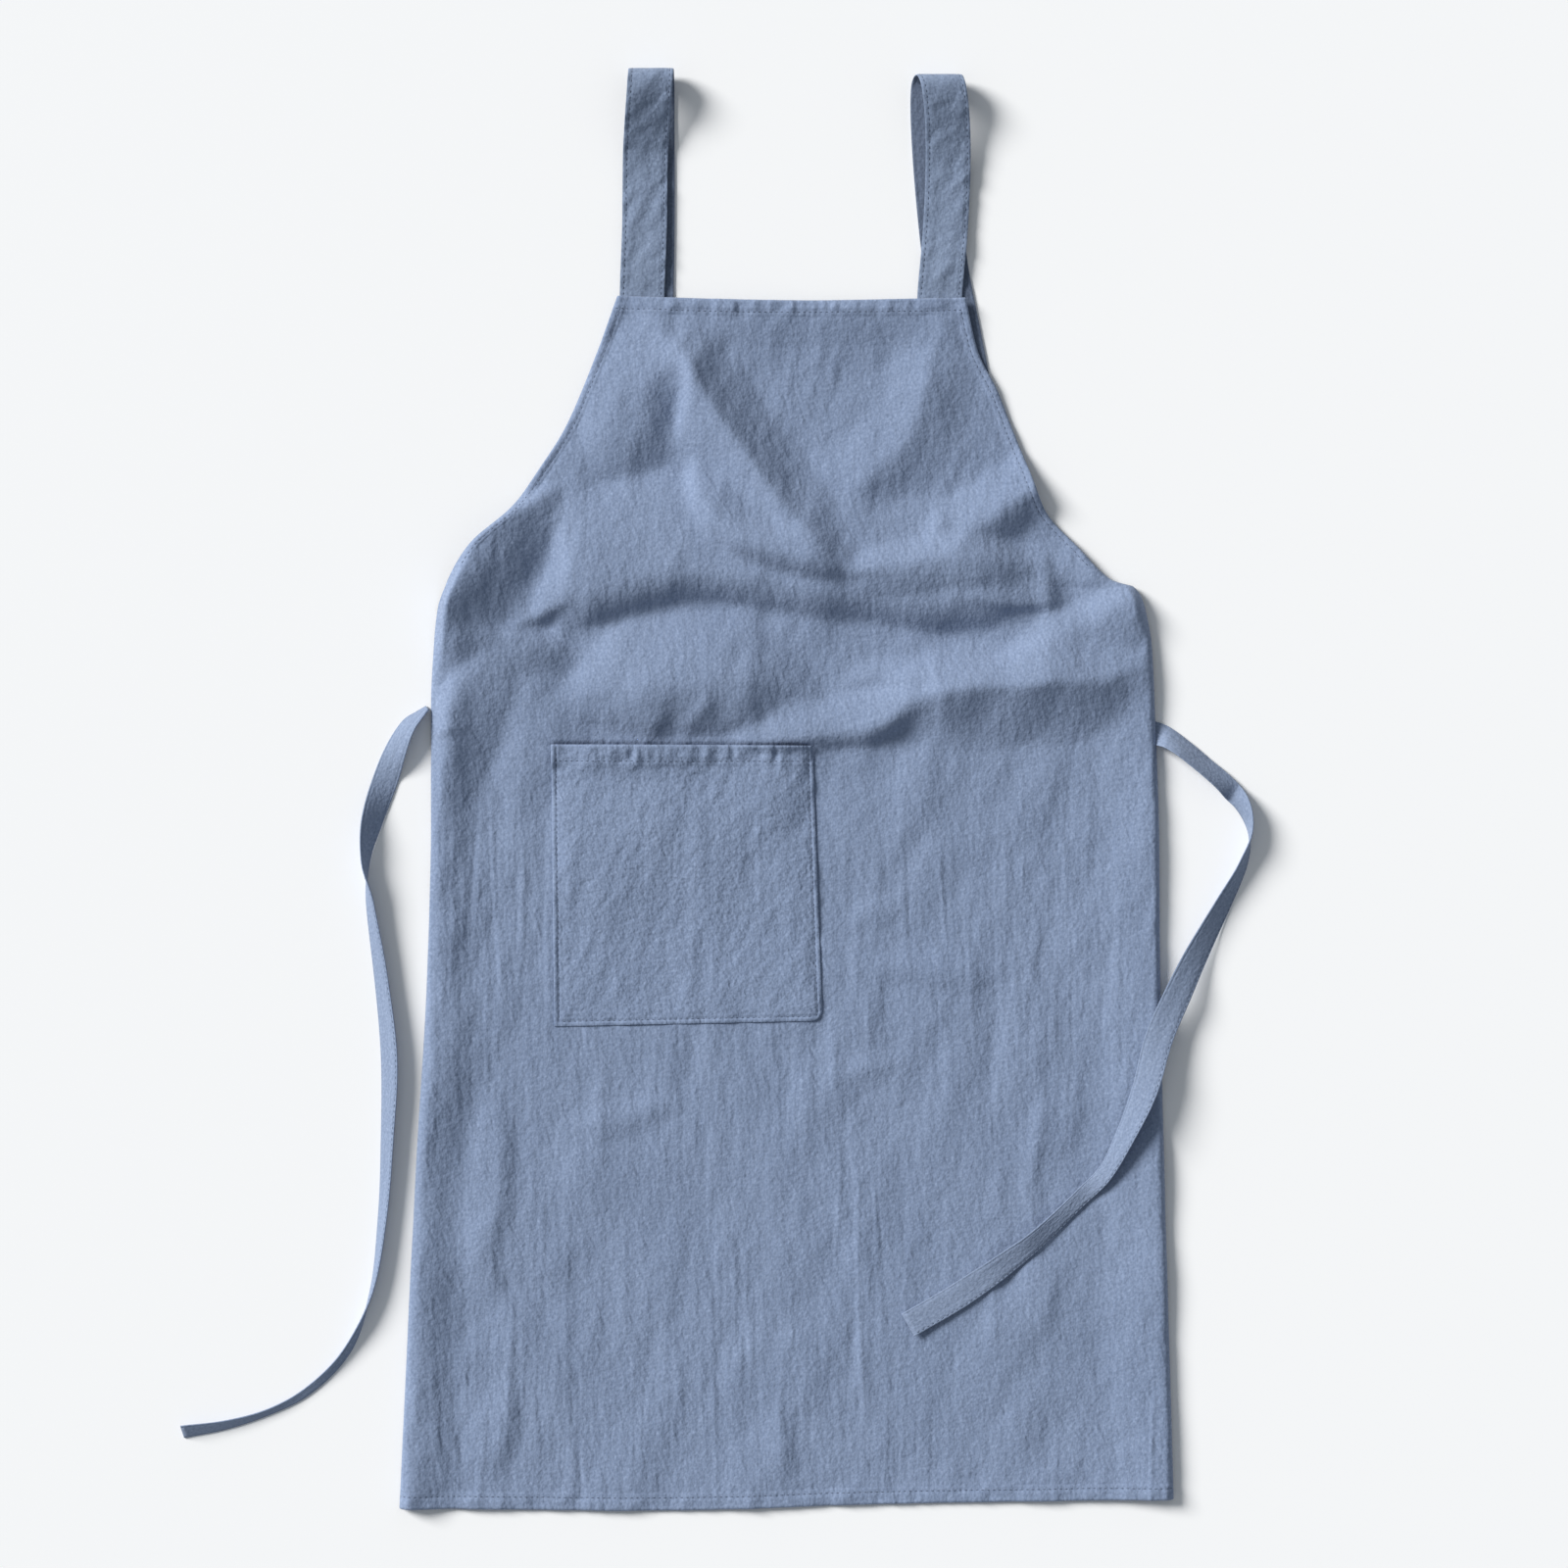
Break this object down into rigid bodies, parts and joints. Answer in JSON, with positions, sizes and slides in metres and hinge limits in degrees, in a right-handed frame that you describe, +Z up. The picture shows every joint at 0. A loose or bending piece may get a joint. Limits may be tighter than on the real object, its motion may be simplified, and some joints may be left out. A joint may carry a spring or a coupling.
{
  "type": "gardening apron",
  "caption": "Washed cotton-linen pinafore apron lying flat, with a bib, a patch pocket, looped shoulder straps and loose waist ties.",
  "frame": {"origin": "on the floor under the middle of the apron's box, without its loose ties", "axes": "+X to the viewer's right, +Y from the hem towards the shoulder straps, +Z up from the floor through the front"},
  "size_m": [0.7645, 1.0278, 0.0273],
  "materials": {
    "front_cloth": "washed cotton-linen, plain weave, blue-grey",
    "back_cloth": "washed cotton-linen, plain weave, blue-grey",
    "pocket_cloth": "washed cotton-linen, plain weave, blue-grey",
    "strap_cloth": "doubled washed cotton-linen band, blue-grey",
    "tie_cloth": "narrow doubled washed cotton-linen tie, blue-grey"
  },
  "bodies": {
    "root": {"front_panel": "front_cloth", "back_panel_left": "back_cloth", "back_panel_right": "back_cloth", "pocket": "pocket_cloth", "shoulder_strap_left": "strap_cloth", "shoulder_strap_right": "strap_cloth", "waist_tie_left": "tie_cloth", "waist_tie_right": "tie_cloth"}
  },
  "joints": []
}
